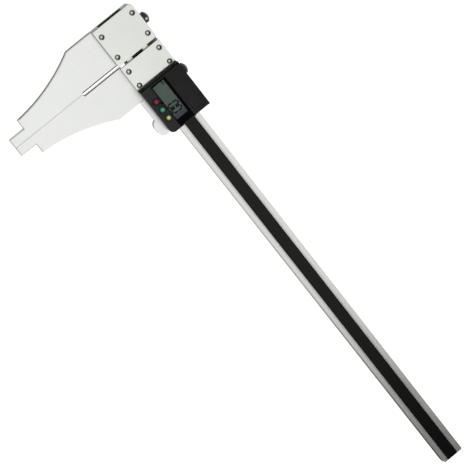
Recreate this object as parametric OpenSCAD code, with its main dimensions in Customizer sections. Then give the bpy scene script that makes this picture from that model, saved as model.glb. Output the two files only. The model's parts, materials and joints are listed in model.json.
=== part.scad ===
// Large digital caliper with long stepped jaws, closed at zero.
// Frame: X runs along the beam, the jaws point along -Y and +Z is the display side.
// X = 0 is the fixed jaw's measuring face, Y = 0 is the beam's axis, and the
// caliper lies on its back on the plane Z = 0.

/* [Beam] */
// Far end of the beam, measured from the fixed measuring face
beam_end = 600; // [560:5:640]
// Width of the beam across the scale
beam_w = 27.5; // [26:0.5:28]
// Thickness of the beam
beam_t = 10; // [9:0.5:10]
// Width of the black scale strip
strip_w = 13.8; // [12:0.2:16]
// Corner cut at the beam's far end, along the beam
beam_cut = 4.5; // [2:0.5:8]

/* [Jaws] */
// Width of each jaw at the head
jaw_w = 46.2; // [44:0.2:48]
// Thickness of the jaw plates
jaw_t = 10; // [9:0.5:10]
// Distance from the beam's axis to the jaw tips
jaw_reach = 164.5; // [155:0.5:175]
// Distance from the beam's axis to the shoulder above the nibs
nib_shoulder = 144.6; // [138:0.2:148]
// Width of one nib, two nibs add up to the nib allowance
nib_w = 11; // [9:0.5:12]
// Width of the jaw at the shoulder
shoulder_w = 21.5; // [18:0.5:24]
// Distance from the beam's axis to the corner where the jaw starts to narrow
taper_start = 58.6; // [50:0.2:64]
// How far the jaw's outer edge curves in from a straight line
taper_sag = 5; // [3:0.1:6]
// Distance from the beam's axis to the end of the relief slot
slot_end = 74; // [65:1:85]

/* [Heads] */
// Height of the head above the beam's axis
head_top = 27.2; // [27:0.1:29]
// Depth of the head below the beam's axis
head_low = 24.8; // [24:0.2:26]
// Top of the head's side walls, above the resting plane
wall_top = 14.4; // [14.4:0.1:15]
// Thickness of the cover plates
plate_t = 3.6; // [3.4:0.1:4]
// Width of the slider's cover plate
slider_plate_w = 30.3; // [29.5:0.1:30.3]

/* [Display unit] */
// Left side of the display unit
unit_x0 = 33.9; // [33.9:0.1:34.5]
// Right side of the display unit
unit_x1 = 91.4; // [90.6:0.2:93]
// Top of the display unit, above the beam's axis
unit_top = 27.6; // [27.2:0.1:28]
// Face of the display unit, above the resting plane
unit_z = 28; // [28:0.5:30]
// Radius of a push button
button_r = 3.7; // [3:0.1:3.8]
// Distance from one button to the next
button_pitch = 10.8; // [10:0.1:11]

/* [Lock knobs] */
// Radius of the knurled lock knobs
knob_r = 6.4; // [5.5:0.1:6.6]
// Height of the fixed head's lock knob
knob_h = 6.5; // [6:0.1:9]
// Height of the slider's lock knob
slider_knob_h = 5.6; // [5:0.1:7]

/* [Hidden] */
$fn = 48;

eps = 0.01;
cut = 1;                        // overshoot of a cutting shape
slide_gap = 0.1;                // clearance between the slider and the beam's edges
rest_gap = 0.05;                // gap left between the measuring faces at zero
head_gap = 0.3;                 // gap between the two head blocks at zero
beam_z = 3.8;                   // beam's back above the resting plane
beam_top = beam_z + beam_t;
half_beam = beam_w / 2;
strip_depth = 0.5;
strip_t = 0.6;
film_t = 0.15;
channel_high = 17.5;            // upper side of the channel that holds beam and gib
gib_t = channel_high - half_beam - 0.25;
gib_h = 7.6;
slot_fixed = 0.6;               // depth of the relief in the fixed jaw
slot_slider = 2.8;              // depth of the relief in the sliding jaw
slot_high = 17;                 // upper end of the relief slot below the beam's axis
slot_tip = 1.6;                 // length of the slot's pointed end
slot_bevel = 0.6;               // bevel along the slot's upper edges
pocket_x = 6.8;                 // width of the pocket under the slider's cover plate
nib_round = 12;                 // radius of the nibs' outer faces
slider_end = 88.5;              // far end of the slider's body
low_wall = 12;                  // top of the slider's walls beneath the display unit
slider_floor = 3.5;
plate_z = wall_top;
plate_top = plate_z + plate_t;
fixed_plate_gap = 0.1;
slider_plate_x0 = 3.3;          // left edge of the slider's cover plate
plate_inset = 0.5;              // step from the jaw's outer side to the fixed cover plate
cap_low = 16;                   // lower end of the channel's end recess, below the beam's axis
cap_high = 15;                  // upper end of the channel's end recess, above the beam's axis
cap_t = 2.6;                    // depth of the channel's end recess
lock_z = 8.2;                   // height of lock studs and gib screws
fixed_lock_x = -22.6;
slider_lock_x = 46.7;
stud_r = 2.5;
stud_fit = 0.05;
knob_gap = 0.8;
cover_screw_r = 1.5;
cover_head_r = 2.8;
cover_head_h = 1.6;
cover_dome_r = 4;
cover_sink = 2.4;
sink_r = 3.2;
hex_r = 1.15;
screw_y = [21.8, -19.6];
fixed_screw_x = [-36, -8.7];
slider_screw_x = [10.9, 29.7];
gib_screw_x = [19.5, 66];
thumb_screw_x = [53, 79];
housing_screw_x = [38, 84];
housing_screw_y = [22.5, -19.5];
post_r = 2.8;
seam_z = 15.6;                  // joint between the housing's back and front
back_z = low_wall;              // underside of the housing
unit_step = 0.6;                // the housing's lower half is this much longer
skin = 2;                       // thickness of the housing's walls and face
face_z = unit_z - skin;
window = [37, -12.7, 90, 6.9];
glass = [38.8, -11.5, 82.2, 3.6];
button_y = -17.2;
button_x = [for (i = [0:2]) 53 + i * button_pitch];
button_collar_r = button_r + 0.7;
board_z = 16.2;
board_t = 1.2;
board_top = board_z + board_t;
lcd_z = face_z - 2.2;
battery_at = [77, 15.5];
battery_r = 5.8;
lid = [70, 9.6, 25];            // battery lid: left edge, lower edge, upper edge
lid_gap = 0.2;
notch = post_r + 0.3;           // corner notches of the board, clear of the screw posts
chip_at = [64.5, 13.5];
chip_r = 5;
port = [48, 59, 22.6];          // data port cover: left, right and inner edge

// A block given by its low and high corners.
module block(a, b) translate(a) cube(b - a);

// An upright cylinder at a plan position.
module post(at, r, z0, z1) translate([at[0], at[1], z0]) cylinder(r = r, h = z1 - z0);

// A cylinder that runs along Y.
module along_y(x, z, r, y0, y1) translate([x, y0, z]) rotate([-90, 0, 0]) cylinder(r = r, h = y1 - y0);

// A flat plate with round corners.
module round_plate(x0, y0, x1, y1, r, z0, z1) {
    for (x = [x0 + r, x1 - r], y = [y0 + r, y1 - r]) post([x, y], r, z0, z1);
    block([x0 + r, y0, z0], [x1 - r, y1, z1]);
    block([x0, y0 + r, z0], [x1, y1 - r, z1]);
}

// Radius of the arc through the two ends of the jaw's curved edge.
taper_run = [jaw_w - shoulder_w, nib_shoulder - taper_start];
taper_chord = norm(taper_run);
taper_r = (pow(taper_chord / 2, 2) + pow(taper_sag, 2)) / (2 * taper_sag);
taper_mid = [(jaw_w + shoulder_w) / 2, -(nib_shoulder + taper_start) / 2];
taper_out = [taper_run[1], -taper_run[0]] / taper_chord;
taper_centre = taper_mid + taper_out * (taper_r - taper_sag);

// Outline of one jaw and its head, drawn on the +X side, inner edge at x = face.
module jaw_outline(face, relief, head_face, corner) polygon([
    [face, -jaw_reach], [nib_w, -jaw_reach], [nib_w, -nib_shoulder], [shoulder_w, -nib_shoulder],
    [jaw_w, -taper_start], [jaw_w, head_top - corner], [jaw_w - corner, head_top],
    [head_face, head_top], [head_face, -slot_high], [relief, -slot_high],
    [relief, -slot_end + slot_tip], [face, -slot_end]]);

// The jaw plate with its curved outer edge and rounded nib.
module jaw_plate(face, relief, head_face, corner) difference() {
    linear_extrude(jaw_t) jaw_outline(face, relief, head_face, corner);
    post(taper_centre, taper_r, -cut, jaw_t + cut);
    difference() {
        block([nib_w - 2, -jaw_reach - cut, -cut], [nib_w + cut, -nib_shoulder, jaw_t + cut]);
        along_y(nib_w - nib_round, jaw_t / 2, nib_round, -jaw_reach - cut, -nib_shoulder);
    }
}

// Cutting shape for the bevel along the relief slot's upper edge, on the +X side.
module slot_edge(relief) translate([0, -head_low, 0]) rotate([90, 0, 0])
    linear_extrude(slot_end - slot_tip - head_low) polygon([
        [relief - 0.5, jaw_t - slot_bevel - 0.5], [relief + slot_bevel + 0.5, jaw_t + 0.5],
        [relief - 0.5, jaw_t + 0.5]]);

// Channel through a head for the beam and the gib.
module channel(x0, x1, low, floor_z) block([x0, low, floor_z], [x1, channel_high, wall_top + cut]);

// Counterbored holes of a cover plate, or the tapped holes under it.
module plate_holes(xs) for (x = xs, y = screw_y) {
    post([x, y], cover_screw_r + 0.1, plate_z - cut, plate_top + cut);
    post([x, y], sink_r, plate_top - cover_sink, plate_top + cut);
}
module tapped_holes(xs) for (x = xs, y = screw_y)
    post([x, y], cover_screw_r + 0.1, 5, wall_top + cut);

// A row of domed socket screws that hold a cover plate.
module cover_screw_set(xs) for (x = xs, y = screw_y) difference() {
    union() {
        post([x, y], cover_screw_r, 5.4, plate_top - cover_sink + eps);
        intersection() {
            post([x, y], cover_head_r, plate_top - cover_sink, plate_top);
            translate([x, y, plate_top - cover_sink + cover_head_h - cover_dome_r])
                sphere(r = cover_dome_r, $fn = 64);
        }
    }
    translate([x, y, plate_top - cover_sink + 0.6]) cylinder(r = hex_r, h = cover_head_h, $fn = 6);
}

// A domed knob with a knurled rim on an axis along Y.
module lock_knob(x, h) translate([x, head_top + knob_gap, lock_z]) rotate([-90, 0, 0]) difference() {
    intersection() {
        cylinder(r = knob_r, h = h);
        translate([0, 0, h - 1.35 * knob_r]) sphere(r = 1.35 * knob_r, $fn = 64);
    }
    for (i = [0:19]) rotate(i * 18) translate([knob_r + 0.25, 0, -cut])
        cylinder(r = 0.7, h = h + 2 * cut, $fn = 16);
    translate([0, 0, -cut]) cylinder(r = stud_r, h = 4 + cut);
}
module lock_stud(x) along_y(x, lock_z, stud_r, channel_high + 0.1, head_top + knob_gap + 4);

// One push button: domed cap, collar and stem.
module push_button(i) translate([button_x[i], button_y, 0]) {
    intersection() {
        post([0, 0], button_r, face_z - 1, unit_z + 1.3);
        translate([0, 0, unit_z + 1.3 - 2.2 * button_r]) sphere(r = 2.2 * button_r, $fn = 64);
    }
    post([0, 0], button_collar_r, face_z - 1.4, face_z - 0.4);
    post([0, 0], 1.5, board_top + 2.9, face_z - 1.2);
}

// Outline of the display unit with its cut lower corner and wider lower half.
module unit_outline() polygon([
    [unit_x0, -head_low], [unit_x1 - 3.4, -head_low], [unit_x1 - 1.1, -head_low + 2],
    [unit_x1, -head_low + 4.6], [unit_x1, 7.6], [unit_x1 - unit_step, 8.2],
    [unit_x1 - unit_step, unit_top], [unit_x0, unit_top]]);

module beam() color("silver") difference() {
    translate([0, 0, beam_z]) linear_extrude(beam_t) polygon([
        [-jaw_w + 2.7, -half_beam], [beam_end - beam_cut, -half_beam],
        [beam_end, -half_beam + beam_cut * 0.6], [beam_end, half_beam - 1], [beam_end - 1, half_beam],
        [-jaw_w + 2.7, half_beam]]);
    block([-jaw_w - cut, -strip_w / 2, beam_top - strip_depth],
        [beam_end + cut, strip_w / 2, beam_top + cut]);
    for (side = [-1, 1]) translate([0, side * (strip_w / 2 + 1), 0])
        block([-jaw_w - cut, -0.2, beam_top - 0.25], [beam_end + cut, 0.2, beam_top + cut]);
}

module scale_strip() color("dimgray")
    block([-jaw_w + 2.7, 0.1 - strip_w / 2, beam_top - strip_depth],
        [beam_end - 0.1, strip_w / 2 - 0.1, beam_top - strip_depth + strip_t]);

module scale_film() color("black")
    block([-jaw_w + 2.7, 0.1 - strip_w / 2, beam_top - strip_depth + strip_t],
        [beam_end - 0.1, strip_w / 2 - 0.1, beam_top - strip_depth + strip_t + film_t]);

module channel_end_cap() color("black") difference() {
    block([-jaw_w, 0.05 - cap_low, beam_z + 0.05], [cap_t - 0.05 - jaw_w, cap_high - 0.05, wall_top - 0.05]);
    block([-jaw_w - cut, 2 - cap_low, beam_z + 2], [-jaw_w + 0.6, cap_high - 2, wall_top - 2]);
}

module fixed_jaw() color("whitesmoke") difference() {
    union() {
        mirror([1, 0, 0]) jaw_plate(0, slot_fixed, 0, 4);
        mirror([1, 0, 0]) linear_extrude(wall_top) polygon([
            [0, -head_low], [jaw_w, -head_low], [jaw_w, head_top - 4], [jaw_w - 4, head_top],
            [0, head_top]]);
    }
    channel(-jaw_w + cap_t - eps, cut, -half_beam, beam_z);
    block([-jaw_w - cut, -cap_low, beam_z], [-jaw_w + cap_t, cap_high, wall_top + cut]);
    block([-slot_fixed, -head_low - cut, -cut], [cut, -slot_high, wall_top + cut]);
    block([-slot_fixed, -slot_high - cut, beam_z], [cut, -half_beam + cut, wall_top + cut]);
    mirror([1, 0, 0]) slot_edge(slot_fixed);
    tapped_holes(fixed_screw_x);
    along_y(fixed_lock_x, lock_z, stud_r + stud_fit, channel_high - cut, head_top + cut);
}

module fixed_cover_plate() color("gainsboro") difference() {
    translate([0, 0, plate_z]) linear_extrude(plate_t) polygon([
        [plate_inset - jaw_w, -head_low], [-fixed_plate_gap, -head_low],
        [-fixed_plate_gap, head_top - 1.5], [-fixed_plate_gap - 1.5, head_top],
        [-jaw_w + 4, head_top], [plate_inset - jaw_w, head_top - 4 + plate_inset]]);
    plate_holes(fixed_screw_x);
}

module fixed_cover_screws() color("lightgray") cover_screw_set(fixed_screw_x);

module fixed_clamp_strip() color("goldenrod")
    block([-jaw_w + 3, half_beam + 0.1, beam_z + 0.2], [-1.5, half_beam + 0.1 + gib_t, beam_z + 9.6]);

module fixed_lock_knob() color("dimgray") lock_knob(fixed_lock_x, knob_h);

module fixed_lock_stud() color("silver") lock_stud(fixed_lock_x);

module slider_jaw() color("whitesmoke") difference() {
    union() {
        jaw_plate(rest_gap, slot_slider, head_gap, 4);
        block([head_gap, -head_low, 0], [slider_end, head_top, low_wall]);
        linear_extrude(wall_top) polygon([
            [head_gap, -head_low], [unit_x0 - 0.3, -head_low], [unit_x0 - 0.3, head_top],
            [head_gap, head_top]]);
    }
    channel(-cut, slider_end + cut, -half_beam - slide_gap, slider_floor);
    block([-cut, -head_low - cut, -cut], [slot_slider, -slot_high, wall_top + cut]);
    block([-cut, -slot_high - cut, beam_z], [slot_slider, -half_beam + cut, wall_top + cut]);
    block([-cut, half_beam - cut, beam_z], [slider_plate_x0, head_top + cut, wall_top + cut]);
    block([-cut, 1.5 - head_low, -cut], [pocket_x, -slot_high, wall_top + cut]);
    slot_edge(slot_slider);
    tapped_holes(slider_screw_x);
    along_y(slider_lock_x, lock_z, stud_r + stud_fit, channel_high - cut, head_top + cut);
    for (x = gib_screw_x) along_y(x, lock_z, 2.1, channel_high - cut, head_top + cut);
    for (x = thumb_screw_x) along_y(x, jaw_t / 2 + 1, 1.35, -head_low - cut, -head_low + 7);
    for (x = housing_screw_x, y = housing_screw_y) {
        post([x, y], 1.35, -cut, low_wall + cut);
        post([x, y], 2.6, -cut, 2.4);
    }
}

module slider_cover_plate() color("gainsboro") difference() {
    translate([0, 0, plate_z]) linear_extrude(plate_t) polygon([
        [slider_plate_x0, -head_low], [slider_plate_x0 + slider_plate_w, -head_low],
        [slider_plate_x0 + slider_plate_w, head_top], [slider_plate_x0 + 2.5, head_top],
        [slider_plate_x0, head_top - 2.5]]);
    plate_holes(slider_screw_x);
}

module slider_cover_screws() color("lightgray") cover_screw_set(slider_screw_x);

module slider_gib() color("goldenrod")
    block([slot_slider + 3, half_beam + slide_gap, beam_z + 0.1],
        [slider_end - 1.5, half_beam + slide_gap + gib_t, beam_z + gib_h]);

module gib_screws() color("silver") for (x = gib_screw_x) difference() {
    along_y(x, lock_z, 2, channel_high + 0.1, head_top - 1);
    translate([x, head_top - 3, lock_z]) rotate([-90, 0, 0]) cylinder(r = 1.15, h = 3, $fn = 6);
}

module slider_lock_knob() color("black") lock_knob(slider_lock_x, slider_knob_h);

module slider_lock_stud() color("silver") lock_stud(slider_lock_x);

module thumb_rest() color("white") difference() {
    union() {
        block([jaw_w + 0.1, -head_low - 5, 1], [74, -head_low, jaw_t + 1]);
        round_plate(71.5, -head_low - 10.4, 91.5, -head_low + 7, 7, 1, jaw_t + 1);
    }
    block([60, -head_low, 0], [95, -head_low + 8, jaw_t + 2]);
    for (x = thumb_screw_x) {
        along_y(x, jaw_t / 2 + 1, 1.6, -head_low - 12, -head_low + cut);
        along_y(x, jaw_t / 2 + 1, 3, -head_low - 12, -head_low - 2.4);
    }
}

module thumb_rest_screws() color("silver") for (x = thumb_screw_x) difference() {
    union() {
        along_y(x, jaw_t / 2 + 1, 1.25, -head_low - 2.5, -head_low + 6.5);
        along_y(x, jaw_t / 2 + 1, 2.75, -head_low - 4.3, -head_low - 2.4);
    }
    translate([x, -head_low - 5, jaw_t / 2 + 1]) rotate([-90, 0, 0]) cylinder(r = 1.4, h = 2, $fn = 6);
}

module housing_back() color("black") difference() {
    translate([0, 0, back_z]) linear_extrude(seam_z - back_z) unit_outline();
    block([0, -half_beam - 0.6, back_z - cut], [unit_x1 + cut, channel_high, beam_top + 0.7]);
    block([40, -7.6, back_z], [84, 7.6, seam_z + cut]);
    for (x = housing_screw_x, y = housing_screw_y) post([x, y], 1.35, back_z - cut, seam_z + cut);
}

module housing_front() color("black") difference() {
    translate([0, 0, seam_z]) linear_extrude(unit_z - seam_z) unit_outline();
    difference() {
        block([unit_x0 + skin, -head_low + skin, seam_z - cut],
            [unit_x1 - unit_step - skin, unit_top - skin, face_z]);
        for (x = housing_screw_x, y = housing_screw_y) post([x, y], post_r, seam_z, face_z);
        block([unit_x1 - 4.4, -head_low, seam_z], [unit_x1, -head_low + 3, face_z]);
    }
    for (x = housing_screw_x, y = housing_screw_y) post([x, y], 1.35, seam_z - cut, face_z - 2);
    block([window[0], window[1], unit_z - 1], [window[2], window[3], unit_z + cut]);
    block([glass[0] - 0.5, glass[1] - 0.5, face_z - cut], [glass[2] + 0.5, glass[3] + 0.5, unit_z]);
    for (x = button_x) {
        post([x, button_y], button_r + 0.3, face_z - cut, unit_z + cut);
        post([x, button_y], button_r + 0.5, unit_z - 0.5, unit_z + cut);
    }
    block([lid[0], lid[1], unit_z - 1.3], [unit_x1 + cut, lid[2], unit_z + cut]);
    block([lid[0], lid[1] - 0.8, unit_z - 1.3], [unit_x1 + cut, lid[2] + 0.8, unit_z - 0.6]);
    post(battery_at, battery_r + 0.4, face_z - cut, unit_z);
    block([port[0] - 0.15, port[2] - 0.15, 19.35], [port[1] + 0.15, unit_top + cut, unit_z + cut]);
}

module housing_screws() color("silver")
    for (x = housing_screw_x, y = housing_screw_y) difference() {
        union() {
            post([x, y], 1.25, 2.2, face_z - 4);
            post([x, y], 2.4, 0.6, 2.3);
        }
        block([x - 1.8, y - 0.3, 0], [x + 1.8, y + 0.3, 1.4]);
        block([x - 0.3, y - 1.8, 0], [x + 0.3, y + 1.8, 1.4]);
    }

module display_bezel() color("black") difference() {
    block([window[0] + 0.1, window[1] + 0.1, unit_z - 1], [window[2] - 0.1, window[3] - 0.1, unit_z - 0.35]);
    block([glass[0], glass[1], unit_z - 2], [glass[2], glass[3], unit_z]);
}

module display_lens() color([0.8, 0.9, 0.9, 0.35])
    block([glass[0] - 0.4, glass[1] - 0.4, face_z + 0.1], [glass[2] + 0.4, glass[3] + 0.4, unit_z - 1.1]);

module lcd_panel() color("slategray")
    block([glass[0] - 1.2, glass[1] - 0.8, lcd_z], [glass[2] + 1.2, glass[3] + 1.2, face_z - 0.1]);

module zebra_strip() color("pink")
    block([42, 2.2, board_top + 0.05], [80, 4.2, lcd_z - 0.05]);

module circuit_board() color("darkgreen") difference() {
    block([unit_x0 + 2.6, -head_low + 2.6, board_z], [unit_x1 - 3.4, unit_top - 2.6, board_top]);
    for (x = [-1, 1], y = [-1, 1]) translate([(x + 1) / 2 * 46 + 38, y * 21 + 1.5, board_z - cut])
        translate([x > 0 ? -notch : notch - 20, y > 0 ? -notch : notch - 20, 0])
            cube([20, 20, board_t + 2 * cut]);
}

module readout_chip() color("black") {
    post(chip_at, chip_r, board_top + 0.05, board_top + 0.8);
    post(chip_at, chip_r - 1.2, board_top + 0.8 - eps, board_top + 1.3);
}

module reader_plate() color("darkgreen")
    block([40.4, -7.2, beam_top + 0.7], [83.6, 7.2, board_z - 0.1]);

module battery() color("silver") {
    post(battery_at, battery_r, 19.6, 24.6);
    post(battery_at, battery_r - 1, 24.6, 25.0);
}

module battery_contact_positive() color("gold")
    block([battery_at[0] - 3, battery_at[1] + 6.1, board_top + 0.05],
        [battery_at[0] + 3, battery_at[1] + 6.4, 24]);

module battery_contact_negative() color("gold")
    translate([0, battery_at[1] + 2, 0]) rotate([90, 0, 0]) linear_extrude(4) polygon([
        [72, board_top + 0.05], [79, board_top + 0.05], [82, 19.4], [81.7, 19.55],
        [78.8, board_top + 0.35], [72, board_top + 0.35]]);

module battery_cover() color("black") {
    block([lid[0] + lid_gap, lid[1] + lid_gap, unit_z - 1.2], [unit_x1 - unit_step - 0.1, lid[2] - lid_gap, unit_z - 0.05]);
    block([lid[0] + lid_gap, lid[1] - 0.6, unit_z - 1.2], [unit_x1 - unit_step - 0.1, lid[2] + 0.6, unit_z - 0.7]);
    for (i = [0:3]) block([84 + i * 1.3, lid[1] + 3.5, unit_z - 0.1],
        [84.6 + i * 1.3, lid[2] - 3.5, unit_z + 0.3]);
}

module data_port_socket() color("dimgray") difference() {
    block([49.5, 17.5, board_top + 0.05], [57.5, 22.2, 22.4]);
    block([50.3, 18.5, 18.6], [56.7, 22.2 + cut, 21.6]);
}

module data_port_cover() color("black") {
    block([port[0], port[2] + 2.4, 19.5], [port[1], unit_top, unit_z - 0.05]);
    block([port[0], port[2], unit_z - 1.2], [port[1], unit_top, unit_z - 0.05]);
}

module button_pad() color("lightgray") {
    block([48, -21.5, board_top + 0.05], [80.5, -13.6, board_top + 1]);
    for (x = button_x) post([x, button_y], 2.6, board_top + 0.9, board_top + 1.9);
}

module red_button() color("firebrick") push_button(0);
module green_button() color("seagreen") push_button(1);
module yellow_button() color("gold") push_button(2);

beam();
scale_strip();
scale_film();
channel_end_cap();
fixed_jaw();
fixed_cover_plate();
fixed_cover_screws();
fixed_clamp_strip();
fixed_lock_knob();
fixed_lock_stud();
slider_jaw();
slider_cover_plate();
slider_cover_screws();
slider_gib();
gib_screws();
slider_lock_knob();
slider_lock_stud();
thumb_rest();
thumb_rest_screws();
housing_back();
housing_front();
housing_screws();
display_bezel();
display_lens();
lcd_panel();
zebra_strip();
circuit_board();
readout_chip();
reader_plate();
battery();
battery_contact_positive();
battery_contact_negative();
battery_cover();
data_port_socket();
data_port_cover();
button_pad();
red_button();
green_button();
yellow_button();
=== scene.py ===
"""Looks of a large digital caliper: finishes of its parts, the read-out's digits and a studio."""
import json
import math

import bmesh
import bpy
from mathutils import Matrix, Vector


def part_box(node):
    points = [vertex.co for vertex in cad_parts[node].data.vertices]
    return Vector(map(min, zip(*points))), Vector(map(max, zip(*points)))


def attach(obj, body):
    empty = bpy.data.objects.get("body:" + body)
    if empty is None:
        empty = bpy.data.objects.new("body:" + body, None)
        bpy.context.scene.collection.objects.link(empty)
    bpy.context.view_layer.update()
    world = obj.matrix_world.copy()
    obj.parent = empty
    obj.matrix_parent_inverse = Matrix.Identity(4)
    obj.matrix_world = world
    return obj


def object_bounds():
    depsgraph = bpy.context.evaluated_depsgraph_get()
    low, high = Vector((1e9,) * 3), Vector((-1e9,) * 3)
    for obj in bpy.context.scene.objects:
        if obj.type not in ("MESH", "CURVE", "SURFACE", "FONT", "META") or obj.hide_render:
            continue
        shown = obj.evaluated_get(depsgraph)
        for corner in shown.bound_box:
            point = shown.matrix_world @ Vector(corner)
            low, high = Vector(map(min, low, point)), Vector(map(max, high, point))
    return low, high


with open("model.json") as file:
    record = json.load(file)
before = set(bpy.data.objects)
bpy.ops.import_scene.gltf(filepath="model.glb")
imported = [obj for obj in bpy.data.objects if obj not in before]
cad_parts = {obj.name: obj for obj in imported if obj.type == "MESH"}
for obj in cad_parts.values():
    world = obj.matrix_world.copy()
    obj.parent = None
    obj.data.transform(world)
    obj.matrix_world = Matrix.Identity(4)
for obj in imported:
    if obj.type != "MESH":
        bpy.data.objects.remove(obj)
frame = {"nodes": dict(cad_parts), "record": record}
cad_low, cad_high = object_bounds()
NODES = frame["nodes"]
MM = 0.001

# ---------------------------------------------------------------- camera
CAMERA_AT = (-0.3314, -0.1428, 1.9092)
CAMERA_TARGET = (0.2259, -0.0386, 0.0)
CAMERA_ROLL = 50.71         # degrees about the line of sight, from the frame's +Y
CAMERA_LENS = 139.66        # mm on a sensor 36 mm wide


def make_camera():
    """The camera high on the fixed jaw's side, turned so that the beam runs down to the right."""
    data = bpy.data.cameras.new("camera")
    camera = bpy.data.objects.new("camera", data)
    bpy.context.scene.collection.objects.link(camera)
    back = (Vector(CAMERA_AT) - Vector(CAMERA_TARGET)).normalized()
    up = (Vector((0, 1, 0)) - back * back.y).normalized()
    right = up.cross(back)
    turn = Matrix.Rotation(math.radians(CAMERA_ROLL), 3, back)
    axes = Matrix([turn @ right, turn @ up, back]).transposed()
    camera.matrix_world = Matrix.Translation(CAMERA_AT) @ axes.to_4x4()
    data.lens = CAMERA_LENS
    data.sensor_width = 36
    data.clip_end = 50
    bpy.context.scene.camera = camera


# ---------------------------------------------------------------- node helpers
class Finish:
    """A Principled material with short calls for the nodes that shape its surface."""

    def __init__(self, name, colour, **sockets):
        self.material = bpy.data.materials.new(name)
        self.material.use_nodes = True
        self.tree = self.material.node_tree
        self.shader = self.tree.nodes["Principled BSDF"]
        self.set("Base Color", (*colour, 1))
        for socket, value in sockets.items():
            self.set(socket.replace("_", " ").title().replace("Ior", "IOR"), value)
        self.places = {}

    def set(self, socket, value):
        self.shader.inputs[socket].default_value = value

    def node(self, kind, **settings):
        made = self.tree.nodes.new("ShaderNode" + kind)
        for name, value in settings.items():
            setattr(made, name, value)
        return made

    def link(self, source, target):
        self.tree.links.new(source, target)

    def place(self, scale=(1, 1, 1), turn=0):
        """The part's own coordinates, scaled along X, Y and Z and turned about Z."""
        key = (*scale, turn)
        if key not in self.places:
            source = self.node("TexCoord")
            mapping = self.node("Mapping")
            mapping.inputs["Scale"].default_value = scale
            mapping.inputs["Rotation"].default_value = (0, 0, math.radians(turn))
            self.link(source.outputs["Object"], mapping.inputs["Vector"])
            self.places[key] = mapping.outputs["Vector"]
        return self.places[key]

    def noise(self, scale, stretch=(1, 1, 1), detail=3, turn=0):
        """Noise with scale features per metre."""
        made = self.node("TexNoise")
        made.inputs["Scale"].default_value = scale
        made.inputs["Detail"].default_value = detail
        self.link(self.place(stretch, turn), made.inputs["Vector"])
        return made.outputs["Fac"]

    def spread(self, value, low, high, start=0.0, end=1.0):
        """A value from start to end carried to the range low to high."""
        made = self.node("MapRange")
        for name, number in (("From Min", start), ("From Max", end), ("To Min", low), ("To Max", high)):
            made.inputs[name].default_value = number
        self.link(value, made.inputs["Value"])
        return made.outputs["Result"]

    def maths(self, operation, a, b):
        """The result of an operation on two values, each a number or another node's output."""
        made = self.node("Math", operation=operation)
        for socket, value in zip(made.inputs, (a, b)):
            if isinstance(value, (int, float)):
                socket.default_value = value
            else:
                self.link(value, socket)
        return made.outputs[0]

    def blend(self, factor, low, high):
        """A colour between low and high; each is a colour or another node's output."""
        made = self.node("Mix", data_type="RGBA")
        self.link(factor, made.inputs[0])
        for socket, colour in ((made.inputs[6], low), (made.inputs[7], high)):
            if isinstance(colour, tuple):
                socket.default_value = (*colour, 1)
            else:
                self.link(colour, socket)
        return made.outputs[2]

    def along(self, axis):
        """The part's own X, Y or Z in metres."""
        split = self.node("SeparateXYZ")
        self.link(self.place(), split.inputs[0])
        return split.outputs[axis]

    def within(self, axis, low, high):
        """1 where the part's coordinate on an axis lies between low and high, in metres."""
        offset = self.maths("SUBTRACT", self.along(axis), (low + high) / 2)
        half = (high - low) / 2
        return self.spread(self.maths("ABSOLUTE", offset, 0), 1, 0, half, half + 0.02 * MM)

    def both(self, first, second):
        """1 where two masks are both 1."""
        return self.maths("MULTIPLY", first, second)

    def outside(self, mask):
        """1 where a mask is 0."""
        return self.maths("SUBTRACT", 1, mask)

    def cosine(self, normal, other):
        """The dot product of a normal with a direction or with another normal."""
        made = self.node("VectorMath", operation="DOT_PRODUCT")
        self.link(normal, made.inputs[0])
        if isinstance(other, (tuple, Vector)):
            made.inputs[1].default_value = other
        else:
            self.link(other, made.inputs[1])
        return made.outputs["Value"]

    def own_normal(self):
        """The surface's normal in the part's own axes."""
        return self.node("TexCoord").outputs["Normal"]

    def facing(self, direction, low, high):
        """1 on faces turned towards a direction, with its cosine running from low to high."""
        return self.spread(self.cosine(self.own_normal(), Vector(direction).normalized()), 0, 1, low, high)

    def near(self, point, inner, outer):
        """1 within the inner distance from a point, fading to 0 at the outer distance."""
        made = self.node("VectorMath", operation="DISTANCE")
        self.link(self.place(), made.inputs[0])
        made.inputs[1].default_value = point
        return self.spread(made.outputs["Value"], 1, 0, inner, outer)

    def flat(self):
        """1 on faces that lie flat, 0 on the sides."""
        upright = self.maths("ABSOLUTE", self.cosine(self.own_normal(), (0, 0, 1)), 0)
        return self.spread(upright, 0, 1, 0.6, 0.92)

    def rounded(self, radius):
        """The normal of the surface if its edges had that radius."""
        made = self.node("Bevel", samples=4)
        made.inputs["Radius"].default_value = radius
        return made.outputs[0]

    def edges(self, radius):
        """1 along outer and inner edges within radius, 0 on open faces."""
        turn = self.cosine(self.rounded(radius), self.node("NewGeometry").outputs["Normal"])
        return self.spread(turn, 1, 0, 0.86, 0.995)

    def colour(self, output):
        """Sets the base colour."""
        self.link(output, self.shader.inputs["Base Color"])

    def base(self):
        """The output that gives the base colour so far."""
        return self.shader.inputs["Base Color"].links[0].from_socket

    def paint(self, mask, colour):
        """Lays a colour over the base colour where the mask is 1."""
        self.colour(self.blend(mask, self.base(), colour))

    def shade(self, mask, factor):
        """Multiplies the base colour by a factor where the mask is 1."""
        made = self.node("Mix", data_type="RGBA", blend_type="MULTIPLY")
        self.link(mask, made.inputs[0])
        self.link(self.base(), made.inputs[6])
        made.inputs[7].default_value = (factor, factor, factor, 1)
        self.colour(made.outputs[2])

    def roughness(self, output):
        self.link(output, self.shader.inputs["Roughness"])

    def round_off(self, radius):
        """Shades outer and inner edges as if they had that radius."""
        self.link(self.rounded(radius), self.shader.inputs["Normal"])

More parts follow.
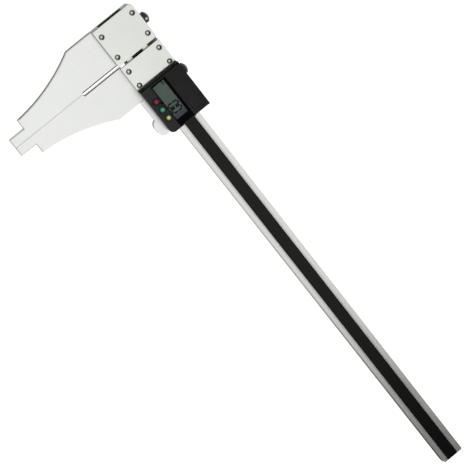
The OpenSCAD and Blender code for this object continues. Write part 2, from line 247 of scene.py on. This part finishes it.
    def bump(self, height, distance, strength=1.0):
        """Relief of that depth in metres, added to any earlier relief."""
        made = self.node("Bump")
        made.inputs["Strength"].default_value = strength
        made.inputs["Distance"].default_value = distance
        self.link(height, made.inputs["Height"])
        socket = self.shader.inputs["Normal"]
        if socket.is_linked:
            self.link(socket.links[0].from_socket, made.inputs["Normal"])
        self.link(made.outputs[0], socket)


def tint(colour, factor):
    """A colour made lighter or darker."""
    return tuple(channel * factor for channel in colour)


def grey(level):
    """A colour with the same level in all channels."""
    return (level, level, level)


# ---------------------------------------------------------------- finishes
# Grinding lines per metre along X, Y and Z, for lines that run along X or along Y.
GRAIN_ALONG_X = (40, 2200, 2200)
GRAIN_ALONG_Y = (2200, 40, 2200)


def ground_metal(name, colour, side, rough, grain):
    """Ground metal: grinding lines along the grain, milled sides painted darker (partly their duller
    finish, partly painted shade) and faint handling marks.
    """
    made = Finish(name, colour, metallic=1.0, specular_tint=(0.4, 0.4, 0.4, 1))
    lines = made.noise(1.0, grain, detail=5)
    cloud = made.noise(22, detail=3)
    fine = made.noise(420, detail=4)
    marks = made.noise(1.0, tuple(reversed(grain[:2])) + (grain[2],), detail=2, turn=23)
    scratch = made.spread(marks, 0, 1, 0.66, 0.70)
    tone = made.spread(cloud, 0.0, 1.0, 0.35, 0.65)
    top = made.blend(tone, tint(colour, 0.97), tint(colour, 1.02))
    top = made.blend(made.spread(lines, 0, 0.5, 0.3, 0.7), top, tint(colour, 0.96))
    # Painted shade: the sides get a darker colour than the flat faces.
    shaded_sides = made.blend(made.spread(fine, 0, 1, 0.35, 0.65), tint(side, 0.85), tint(side, 1.1))
    made.colour(made.blend(made.flat(), shaded_sides, top))
    worn = made.maths("MULTIPLY", scratch, -0.03)
    base = made.spread(lines, rough - 0.03, rough + 0.04, 0.3, 0.7)
    smudge = made.spread(cloud, -0.02, 0.03, 0.35, 0.65)
    made.roughness(made.maths("ADD", made.maths("ADD", base, smudge), worn))
    made.bump(lines, 0.006 * MM)
    made.bump(fine, 0.003 * MM)
    return made


def jaw_finish(name):
    """Ground jaws with painted shade and light: dark lines on the outer edges, and a relief slot with dark
    edges and bright walls.
    """
    made = ground_metal(name, (0.81, 0.82, 0.805), (0.27, 0.27, 0.265), 0.3, GRAIN_ALONG_Y)
    # Painted shade: the jaws slightly darker towards the heads.
    made.shade(made.spread(made.along("Y"), 0, 1, -0.12, -0.03), 0.965)
    side = made.outside(made.flat())
    # Painted light: paler sides on the heads and on the nibs.
    head = made.spread(made.along("Y"), 0, 1, -27 * MM, -26 * MM)
    made.paint(made.both(side, head), (0.55, 0.55, 0.545))
    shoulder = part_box("fixed_jaw")[0].y + 22 * MM
    below = made.spread(made.along("Y"), 1, 0, shoulder, shoulder + 0.5 * MM)
    made.paint(made.both(side, below), (0.5, 0.5, 0.495))
    # Painted shade: dark lines along the lower ends and along the fixed jaw's outer edge.
    left = made.both(made.within("X", -50 * MM, -3 * MM), made.outside(below))
    for direction, where, level in (((0.1, -0.99, 0), below, 0.16), ((-0.95, -0.3, 0), left, 0.38)):
        tilt = made.cosine(made.rounded(2.2 * MM), direction)
        line = made.both(made.spread(tilt, 0, 1, 0.1, 0.24), made.flat())
        made.paint(made.both(line, where), grey(level))
    # Painted light: the relief slot's walls below their dark upper rim, near white and not metallic; then
    # painted shade: its dark edges on the jaws' faces.
    slot_low, slot_high = -72 * MM, -16 * MM
    slot = made.both(made.within("X", -1.7 * MM, 4 * MM), made.within("Y", slot_low, slot_high))
    deep = made.spread(made.along("Z"), 1, 0, 5.5 * MM, 6.5 * MM)
    wall = made.both(made.both(deep, side), slot)
    made.paint(wall, grey(0.9))
    top = made.spread(made.along("Z"), 0, 1, 9 * MM, 9.2 * MM)
    beside = made.within("Y", slot_low, -26 * MM)
    for low, high, level in ((-1.8, -0.5, 0.05), (2.7, 3.3, 0.08)):
        edge = made.both(made.within("X", low * MM, high * MM), beside)
        made.paint(made.both(edge, top), grey(level))
    # Painted shade: grey on the line where the measuring faces meet and on the walls of the gap above the
    # beam.
    parting = made.both(made.within("X", -0.3 * MM, 0.3 * MM), made.within("Y", -170 * MM, -74 * MM))
    made.paint(parting, grey(0.5))
    above = made.both(made.within("X", -0.5 * MM, 3.4 * MM), made.within("Y", 14 * MM, 28 * MM))
    gap = made.both(above, made.spread(made.along("Z"), 1, 0, 13 * MM, 14 * MM))
    made.paint(gap, grey(0.4))
    made.link(made.outside(made.maths("MAXIMUM", wall, gap)), made.shader.inputs["Metallic"])
    return made


def beam_finish(name):
    """The ground beam, its lower edge painted darker towards the far end as shade."""
    made = ground_metal(name, (0.665, 0.665, 0.65), (0.14, 0.14, 0.135), 0.24, GRAIN_ALONG_X)
    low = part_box("beam")[0].y
    edge = made.spread(made.along("Y"), 1, 0, low + 0.9 * MM, low + 1.4 * MM)
    far = made.spread(made.along("X"), 0, 1, 0.1, 0.6)
    # Painted shade along the lower edge, growing towards the far end.
    made.paint(made.both(edge, far), (0.12, 0.12, 0.115))
    return made


def cover_plate_finish(name):
    """Ground plate, painted a little darker towards +Y and inside its counterbores, both as painted shade.
    """
    made = ground_metal(name, (0.70, 0.713, 0.685), (0.42, 0.42, 0.41), 0.15, GRAIN_ALONG_X)
    # Painted shade: the plate slightly darker towards +Y.
    made.shade(made.spread(made.along("Y"), 0, 1, -0.02, 0.02), 0.96)
    # Painted shade inside the counterbores.
    rim = 0.3 * MM
    across = []
    for plate in ("fixed_cover_plate", "slider_cover_plate"):
        low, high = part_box(plate)
        across.append(made.within("X", low.x + rim, high.x - rim))
    inner = made.both(made.maths("ADD", *across), made.within("Y", low.y + rim, high.y - rim))
    deep = made.spread(made.along("Z"), 1, 0, high.z - 0.7 * MM, high.z - 0.4 * MM)
    made.paint(made.both(inner, deep), (0.5, 0.5, 0.46))
    return made


def lock_knob_finish(name):
    """Black anodised knob with a painted highlight on the fixed knob's dome."""
    made = turned_metal(name, (0.055, 0.055, 0.058), 0.32)
    # Painted highlight: a bright blob on the fixed knob's dome.
    low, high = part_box("fixed_lock_knob")
    highlight_spot = ((low.x + high.x) / 2 + 1.8 * MM, low.y + 2.5 * MM, high.z)
    made.paint(made.near(highlight_spot, 0.8 * MM, 2.0 * MM), (0.85, 0.85, 0.83))
    return made


def turned_metal(name, colour, rough, radial=900):
    """Bright machined steel with fine turning marks and a little tarnish."""
    made = Finish(name, colour, metallic=1.0)
    marks = made.noise(radial, detail=4)
    cloud = made.noise(150, detail=2)
    made.colour(made.blend(made.spread(cloud, 0, 1, 0.3, 0.7), tint(colour, 0.82), tint(colour, 1.05)))
    made.roughness(made.spread(marks, rough - 0.08, rough + 0.1, 0.3, 0.7))
    made.bump(marks, 0.01 * MM)
    return made


def screw_finish(name):
    """Turned screw steel, its heads painted dark as shade on the side away from the jaws."""
    made = turned_metal(name, (0.66, 0.65, 0.59), 0.24)
    # Painted shade: a dark crescent on the side of each head that faces +X and +Y.
    made.paint(made.facing((0.62, 0.78, 0), 0.1, 0.35), (0.04, 0.04, 0.035))
    return made


def moulded_plastic(name, colour, rough=0.5, texture=0.02, wear=0.6):
    """Moulded plastic: a spark-eroded texture, slight flow marks and edges polished by handling."""
    made = Finish(name, colour, specular_ior_level=0.03)
    made.round_off(0.5 * MM)
    grain = made.noise(2600, detail=3)
    cloud = made.noise(60, detail=3)
    edge = made.maths("MULTIPLY", made.edges(0.35 * MM), wear)
    body = made.blend(made.spread(cloud, 0, 1, 0.3, 0.7), tint(colour, 0.88), tint(colour, 1.12))
    made.colour(made.blend(edge, body, tuple(min(1, c * 1.9 + 0.012) for c in colour)))
    base = made.spread(grain, rough - 0.06, rough + 0.08, 0.3, 0.7)
    made.roughness(made.maths("SUBTRACT", base, made.maths("MULTIPLY", edge, 0.12)))
    made.bump(grain, texture * MM)
    return made


def housing_finish(name):
    """The display unit's housing: painted lighter round the buttons as sheen, its lower side painted grey
    as light on it, and a painted black shade line along its left edge.
    """
    made = moulded_plastic(name, (0.028, 0.028, 0.029), 0.55, texture=0.04)
    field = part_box("display_bezel")[0].y
    # Painted sheen: the field round the buttons a shade lighter.
    around = made.spread(made.along("Y"), 0.8, 0, field - 1 * MM, field + 1 * MM)
    made.paint(around, (0.044, 0.044, 0.045))
    # Painted light: the lower side painted grey, standing in for the light on it.
    made.paint(made.facing((0, -1, 0), 0.6, 0.9), grey(0.19))
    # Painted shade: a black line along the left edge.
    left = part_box("housing_front")[0].x
    made.paint(made.spread(made.along("X"), 1, 0, left + 1.2 * MM, left + 1.6 * MM), grey(0.003))
    return made


def gloss_plastic(name, colour, rough=0.12):
    """Glossy moulded plastic with faint dust and hairline marks."""
    made = Finish(name, colour, specular_ior_level=0.02)
    dust = made.noise(1800, detail=2)
    cloud = made.noise(90, detail=3)
    hair = made.spread(made.noise(1.0, (1500, 60, 400), detail=2, turn=31), 0, 1, 0.67, 0.71)
    speck = made.spread(dust, 0, 0.5, 0.68, 0.74)
    made.colour(made.blend(speck, colour, tuple(min(1, c + 0.01) for c in colour)))
    base = made.spread(cloud, rough - 0.03, rough + 0.07, 0.3, 0.7)
    made.roughness(made.maths("ADD", base, made.maths("MULTIPLY", hair, 0.12)))
    made.bump(cloud, 0.01 * MM)
    return made


def scale_film_finish(name):
    """Satin black film over the scale strip, with the faint raster of the electrodes beneath."""
    made = Finish(name, grey(0.001), specular_ior_level=0.2)
    grain = made.noise(1500, detail=3)
    streak = made.noise(1.0, (8, 500, 8), detail=4)
    pitch = 5.08 * MM
    ripple = made.maths("FRACT", made.maths("DIVIDE", made.along("X"), pitch), 0)
    step = made.spread(ripple, 0, 1, 0.47, 0.53)
    dark = made.blend(made.spread(streak, 0, 1, 0.3, 0.7), grey(0.0003), (0.001, 0.001, 0.0009))
    made.colour(made.blend(made.maths("MULTIPLY", step, 0.25), dark, (0.002, 0.002, 0.0018)))
    made.roughness(made.spread(grain, 0.22, 0.3, 0.3, 0.7))
    made.bump(grain, 0.003 * MM)
    made.bump(step, 0.002 * MM)
    return made


def rubber_button(name, colour, crown_highlight):
    """A rubber cap with a painted highlight on its crown, darker towards the rim as painted shade."""
    made = Finish(name, colour, specular_ior_level=0.3)
    low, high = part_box(name.removeprefix("button_") + "_button")
    centre = (low + high) / 2
    grain = made.noise(2400, detail=3)
    across = made.maths("SUBTRACT", made.along("X"), centre.x)
    along = made.maths("SUBTRACT", made.along("Y"), centre.y)
    square = made.maths("ADD", made.maths("POWER", across, 2), made.maths("POWER", along, 2))
    radius = made.maths("SQRT", square, 0)
    # Painted highlight on the crown, fading to the darker rim colour as painted shade.
    crown = made.spread(radius, 1, 0, 0.6 * MM, 2.8 * MM)
    fleck = made.spread(made.noise(700, detail=2), 0.85, 1.0, 0.3, 0.6)
    made.colour(made.blend(made.both(crown, fleck), colour, crown_highlight))
    made.roughness(made.spread(grain, 0.28, 0.42, 0.3, 0.7))
    made.bump(grain, 0.01 * MM)
    return made


def board_finish(name):
    """Green solder mask over copper tracks."""
    made = Finish(name, (0.012, 0.09, 0.035), specular_ior_level=0.5, coat_weight=0.4, coat_roughness=0.15)
    track = made.node("TexBrick")
    made.link(made.place((1, 1, 1)), track.inputs["Vector"])
    for socket, value in (("Scale", 160), ("Mortar Size", 0.09), ("Mortar Smooth", 0.3)):
        track.inputs[socket].default_value = value
    copper = made.spread(made.noise(120, detail=2), 0, 1, 0.48, 0.52)
    lines = made.both(track.outputs["Fac"], copper)
    made.colour(made.blend(lines, (0.012, 0.08, 0.03), (0.05, 0.19, 0.06)))
    made.roughness(made.spread(made.noise(500), 0.25, 0.4, 0.3, 0.7))
    made.bump(lines, 0.03 * MM)
    return made


def lcd_finish(name):
    """The display: a dull green-grey reflector with a fine cell raster, darker at its right end."""
    made = Finish(name, (0.24, 0.30, 0.27), specular_ior_level=0.1)
    cell = made.noise(1400, detail=2)
    cloud = made.noise(45, detail=2)
    base = made.blend(made.spread(cloud, 0, 1, 0.35, 0.65), (0.175, 0.215, 0.19), (0.195, 0.24, 0.21))
    made.colour(made.blend(made.spread(cell, 0, 0.5, 0.3, 0.7), base, (0.165, 0.205, 0.18)))
    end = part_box("lcd_panel")[1].x
    made.paint(made.spread(made.along("X"), 0, 1, end - 8 * MM, end - 5 * MM), (0.119, 0.119, 0.136))
    made.roughness(made.spread(cell, 0.4, 0.55, 0.3, 0.7))
    made.bump(cell, 0.004 * MM)
    return made


def window_finish(name):
    """The clear window: what is behind shows through, with a mirror-like sheen on top."""
    made = Finish(name, (0.9, 0.92, 0.92))
    tree = made.tree
    tree.nodes.remove(made.shader)
    clear = made.node("BsdfTransparent")
    clear.inputs["Color"].default_value = (0.93, 0.95, 0.95, 1)
    sheen = made.node("BsdfGlossy")
    sheen.inputs["Color"].default_value = (1, 1, 1, 1)
    smear = made.spread(made.noise(70, detail=3), 0.02, 0.09, 0.35, 0.65)
    made.link(smear, sheen.inputs["Roughness"])
    facing = made.node("Fresnel")
    facing.inputs["IOR"].default_value = 1.14
    both = made.node("MixShader")
    made.link(facing.outputs[0], both.inputs[0])
    made.link(clear.outputs[0], both.inputs[1])
    made.link(sheen.outputs[0], both.inputs[2])
    made.link(both.outputs[0], tree.nodes["Material Output"].inputs["Surface"])
    return made


# What makes each material slot's finish.
MAKERS = {
    "beam_aluminium": beam_finish,
    "scale_board": lambda n: moulded_plastic(n, (0.02, 0.022, 0.02), 0.5),
    "scale_film": scale_film_finish,
    "black_plastic": lambda n: moulded_plastic(n, grey(0.006), 0.5, 0.02, 0.2),
    "jaw_metal": jaw_finish,
    "plate_metal": cover_plate_finish,
    "screw_steel": screw_finish,
    "gib_brass": lambda n: turned_metal(n, (0.72, 0.52, 0.22), 0.35),
    "knob_black": lock_knob_finish,
    "thumb_metal": lambda n: ground_metal(n, grey(0.80), grey(0.56), 0.28, GRAIN_ALONG_X),
    "housing_black": housing_finish,
    "bezel_gloss": lambda n: gloss_plastic(n, (0.0015, 0.0015, 0.002)),
    "lens_clear": window_finish,
    "lcd_glass": lcd_finish,
    "zebra_rubber": lambda n: moulded_plastic(n, (0.35, 0.12, 0.15), 0.6),
    "board_green": board_finish,
    "battery_steel": lambda n: turned_metal(n, (0.75, 0.75, 0.74), 0.22),
    "contact_plate": lambda n: turned_metal(n, (0.80, 0.62, 0.28), 0.25),
    "cover_black": lambda n: moulded_plastic(n, (0.027, 0.027, 0.028), 0.5),
    "pad_rubber": lambda n: moulded_plastic(n, (0.35, 0.35, 0.34), 0.7),
    "button_red": lambda n: rubber_button(n, (0.05, 0.003, 0.006), (0.33, 0.04, 0.06)),
    "button_green": lambda n: rubber_button(n, (0.004, 0.05, 0.035), (0.17, 0.55, 0.40)),
    "button_yellow": lambda n: rubber_button(n, (0.04, 0.037, 0.002), (1.0, 1.0, 0.52)),
}
# Edge radius in mm of each part that has crisp machined or moulded edges.
EDGE_RADIUS = {
    "beam": 0.8, "fixed_jaw": 0.45, "slider_jaw": 0.45,
    "fixed_cover_plate": 0.45, "slider_cover_plate": 0.45,
    "fixed_cover_screws": 0.12, "slider_cover_screws": 0.12,
    "fixed_lock_knob": 0.35, "slider_lock_knob": 0.35,
    "battery_cover": 0.15, "data_port_cover": 0.2, "channel_end_cap": 0.2, "thumb_rest": 0.6,
    "display_lens": 0.15, "red_button": 0.3, "green_button": 0.3, "yellow_button": 0.3,
    "housing_screws": 0.1, "thumb_rest_screws": 0.15, "scale_strip": 0.05, "scale_film": 0.04,
}


def node_slots():
    """Each CAD node's material slot, as the record gives it."""
    return {part["node"]: part["material_slot"] for part in frame["record"]["subparts"]}


def soften(thing, radius):
    """Joins the split corners and flat triangles of an imported part and rounds its edges."""
    weld = thing.modifiers.new("weld", "WELD")
    weld.merge_threshold = 0.002 * MM
    merge = thing.modifiers.new("faces", "DECIMATE")
    merge.decimate_type = "DISSOLVE"
    merge.angle_limit = math.radians(0.5)
    bevel = thing.modifiers.new("edge", "BEVEL")
    bevel.width = radius * MM
    bevel.segments = 3
    bevel.limit_method = "ANGLE"
    bevel.angle_limit = math.radians(32)
    bevel.use_clamp_overlap = True
    bevel.miter_outer = "MITER_ARC"
    normals = thing.modifiers.new("normals", "WEIGHTED_NORMAL")
    normals.keep_sharp = False
    normals.weight = 80


def dress(slots, made):
    """Gives every CAD node its finish and its rounded edges."""
    for name, thing in NODES.items():
        slot = slots[name]
        thing.data.materials.clear()
        thing.data.materials.append(made[slot].material)
        if name in EDGE_RADIUS:
            soften(thing, EDGE_RADIUS[name])


# ---------------------------------------------------------------- read-out digits
# The seven bars of a digit: start and end on a grid of half digit heights, X then Y.
BARS = [((0, 2), (1, 2)), ((0, 1), (1, 1)), ((0, 0), (1, 0)), ((0, 1), (0, 2)), ((1, 1), (1, 2)),
        ((0, 0), (0, 1)), ((1, 0), (1, 1))]
ZERO = (0, 2, 3, 4, 5, 6)


def add_bar(mesh, start, end, half, floor, height):
    """One pointed bar of a digit as a thin prism."""
    along = (end - start).normalized()
    side = Vector((-along.y, along.x)) * half
    tip = along * half
    gap = along * half * 0.12
    a, b = start + gap, end - gap
    outline = [a, a + tip + side, b - tip + side, b, b - tip - side, a + tip - side]
    low = [mesh.verts.new((p.x, p.y, floor)) for p in outline]
    high = [mesh.verts.new((p.x, p.y, floor + height)) for p in outline]
    mesh.faces.new(high)
    mesh.faces.new(list(reversed(low)))
    for i in range(len(outline)):
        j = (i + 1) % len(outline)
        mesh.faces.new((low[i], low[j], high[j], high[i]))


def finish_mesh(name, mesh, material, body):
    """Turns a bmesh into a piece that rides on a body."""
    data = bpy.data.meshes.new(name)
    mesh.to_mesh(data)
    mesh.free()
    data.materials.append(material)
    piece = bpy.data.objects.new(name, data)
    bpy.context.scene.collection.objects.link(piece)
    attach(piece, body)
    return piece


def make_ink():
    """The dark segments of the liquid crystal."""
    ink = Finish("segment_ink", (0.006, 0.010, 0.009), specular_ior_level=0.1)
    grain = ink.noise(1600, detail=2)
    cloud = ink.spread(grain, 0, 1, 0.3, 0.7)
    ink.colour(ink.blend(cloud, (0.005, 0.009, 0.008), (0.010, 0.015, 0.013)))
    ink.roughness(ink.spread(grain, 0.35, 0.5, 0.3, 0.7))
    return ink


def make_digits():
    """The read-out: 0.0 at the right of the display and a small bar at its upper left."""
    low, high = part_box("lcd_panel")
    floor = high.z
    thin = 0.04 * MM
    ink = make_ink()
    slant = math.tan(math.radians(3))
    wide, tall, half = 4.5 * MM, 11.6 * MM, 1.05 * MM
    foot = low.y + 2.2 * MM
    lefts = [high.x - 19.1 * MM, high.x - 12.5 * MM]
    mesh = bmesh.new()
    for left in lefts:
        for index in ZERO:
            points = []
            for x, y in BARS[index]:
                up = y * tall / 2
                points.append(Vector((left + x * wide + up * slant, foot + up)))
            add_bar(mesh, points[0], points[1], half, floor, thin)
    middle = (lefts[0] + wide + lefts[1]) / 2
    point = Vector((middle, foot + 0.5 * MM))
    reach = Vector((1.4 * MM, 0))
    add_bar(mesh, point - reach, point + reach, 1.1 * MM, floor, thin)
    finish_mesh("readout_digits", mesh, ink.material, "slider")
    mesh = bmesh.new()
    start = Vector((low.x + 0.7 * MM, high.y - 4.2 * MM))
    add_bar(mesh, start, start + Vector((5.6 * MM, 0)), 0.65 * MM, floor, thin)
    finish_mesh("readout_sign", mesh, ink.material, "slider")


def make_dot(made):
    """The small dark dot between the first two buttons and the window."""
    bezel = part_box("display_bezel")[0]
    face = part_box("housing_front")[1].z
    mesh = bmesh.new()
    at = Matrix.Translation((bezel.x + 20.4 * MM, bezel.y - 1.1 * MM, face + 0.02 * MM))
    bmesh.ops.create_cone(mesh, cap_ends=True, segments=32, radius1=1.45 * MM, radius2=1.35 * MM,
                          depth=0.06 * MM, matrix=at)
    finish_mesh("sensor_dot", mesh, made["bezel_gloss"].material, "slider")


# ---------------------------------------------------------------- studio
def make_floor():
    """A plain pale floor under the caliper."""
    mesh = bmesh.new()
    bmesh.ops.create_grid(mesh, x_segments=2, y_segments=2, size=4)
    data = bpy.data.meshes.new("floor")
    mesh.to_mesh(data)
    mesh.free()
    pale = Finish("floor_pale", grey(0.6), roughness=0.8, specular_ior_level=0.1)
    pale.set("Emission Color", (1, 1, 1, 1))
    pale.set("Emission Strength", 0.85)
    tone = pale.noise(3, detail=2)
    pale.colour(pale.blend(tone, grey(0.59), grey(0.61)))
    data.materials.append(pale.material)
    floor = bpy.data.objects.new("floor", data)
    floor.location.z = cad_low.z - 0.02 * MM
    bpy.context.scene.collection.objects.link(floor)


def add_light(name, at, target, size, power):
    """A rectangular soft box aimed at a point."""
    data = bpy.data.lights.new(name, "AREA")
    data.shape = "RECTANGLE"
    data.size, data.size_y = size
    data.energy = power
    light = bpy.data.objects.new(name, data)
    light.location = at
    light.rotation_mode = "QUATERNION"
    light.rotation_quaternion = (Vector(target) - Vector(at)).to_track_quat("-Z", "Y")
    bpy.context.scene.collection.objects.link(light)


def make_light():
    """Pale walls under a dark ceiling, and one wide soft box overhead."""
    world = bpy.data.worlds.new("surround")
    world.use_nodes = True
    nodes, links = world.node_tree.nodes, world.node_tree.links
    shade = nodes["Background"]
    shade.inputs["Color"].default_value = (1.0, 1.0, 0.99, 1)
    split = nodes.new("ShaderNodeSeparateXYZ")
    links.new(nodes.new("ShaderNodeTexCoord").outputs["Generated"], split.inputs[0])
    height = nodes.new("ShaderNodeMapRange")
    for name, number in (("From Min", 0.45), ("From Max", 0.7), ("To Min", 0.7), ("To Max", 0.12)):
        height.inputs[name].default_value = number
    links.new(split.outputs["Z"], height.inputs["Value"])
    links.new(height.outputs["Result"], shade.inputs["Strength"])
    bpy.context.scene.world = world
    add_light("overhead", (0.0, 0.1, 1.9), (0.0, 0.1, 0.0), (2.5, 2.2), 17.0)
    bpy.context.scene.view_settings.view_transform = "Standard"


finishes = {slot: make(slot) for slot, make in MAKERS.items()}
make_camera()
dress(node_slots(), finishes)
make_digits()
make_dot(finishes)
make_floor()
make_light()
